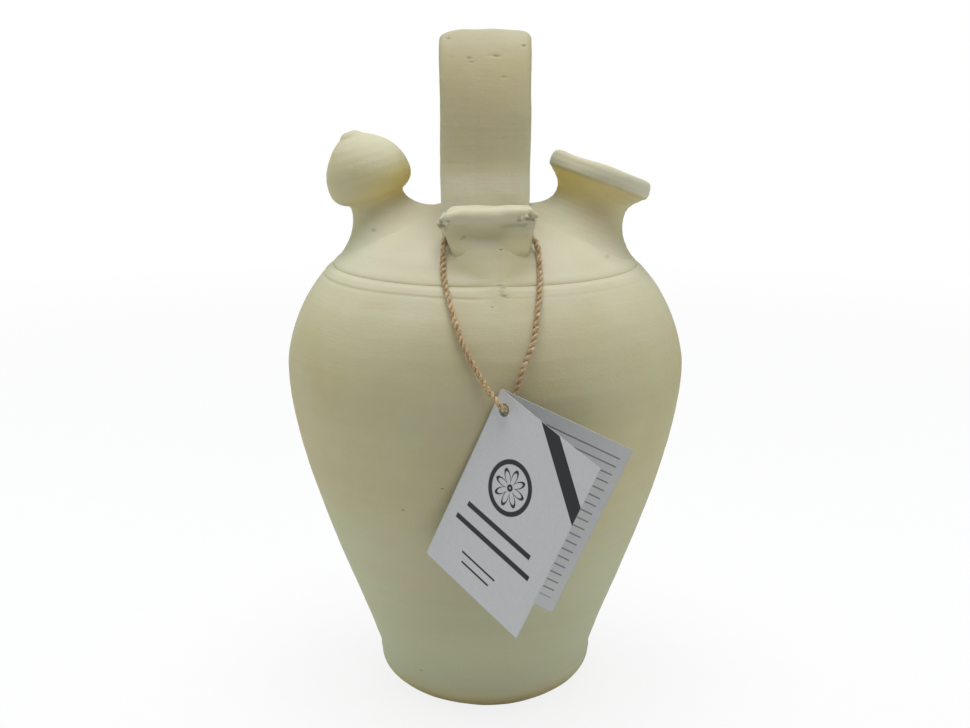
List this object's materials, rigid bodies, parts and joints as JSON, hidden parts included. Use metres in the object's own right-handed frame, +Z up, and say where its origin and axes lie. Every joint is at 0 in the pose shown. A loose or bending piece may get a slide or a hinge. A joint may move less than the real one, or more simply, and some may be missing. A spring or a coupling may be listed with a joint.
{
  "type": "spanish botijo",
  "caption": "Two-spouted water jug of porous pale clay, with a strap handle over its dome and a folded card tag on a twine loop.",
  "frame": {"origin": "centre of the flat base, on the table", "axes": "+Z up, +X towards the filling mouth, -Y towards the side where the tag hangs"},
  "size_m": [0.1944, 0.2412, 0.33],
  "materials": {
    "clay": "unglazed, matte, fine throwing lines",
    "jute": "two-ply twisted jute",
    "card": "uncoated printed card"
  },
  "bodies": {
    "jug": {"lower_body": "clay", "shoulder_dome": "clay", "filling_mouth": "clay", "drinking_spout": "clay", "strap_handle": "clay", "front_lug": "clay"},
    "twine": {"twine_loop": "jute"},
    "tag": {"tag_back_leaf": "card"},
    "flap": {"tag_front_leaf": "card"}
  },
  "joints": [
    {"name": "twine_lift", "type": "hinge", "parent": "jug", "child": "twine", "pos_m": [0, -0.054, 0.2393], "axis": [-1, 0, 0], "range_deg": [0, 40]},
    {"name": "tag_swing", "type": "hinge", "parent": "twine", "child": "tag", "pos_m": [0.0102, -0.102, 0.1717], "axis": [0.178, 0.982, 0.063], "range_deg": [-10, 25]},
    {"name": "tag_fold", "type": "hinge", "parent": "tag", "child": "flap", "pos_m": [0.0076, -0.102, 0.1796], "axis": [-0.3875, 0.1288, -0.9128], "range_deg": [-35, 5], "stiffness_Nm_per_rad": 0.01}
  ]
}
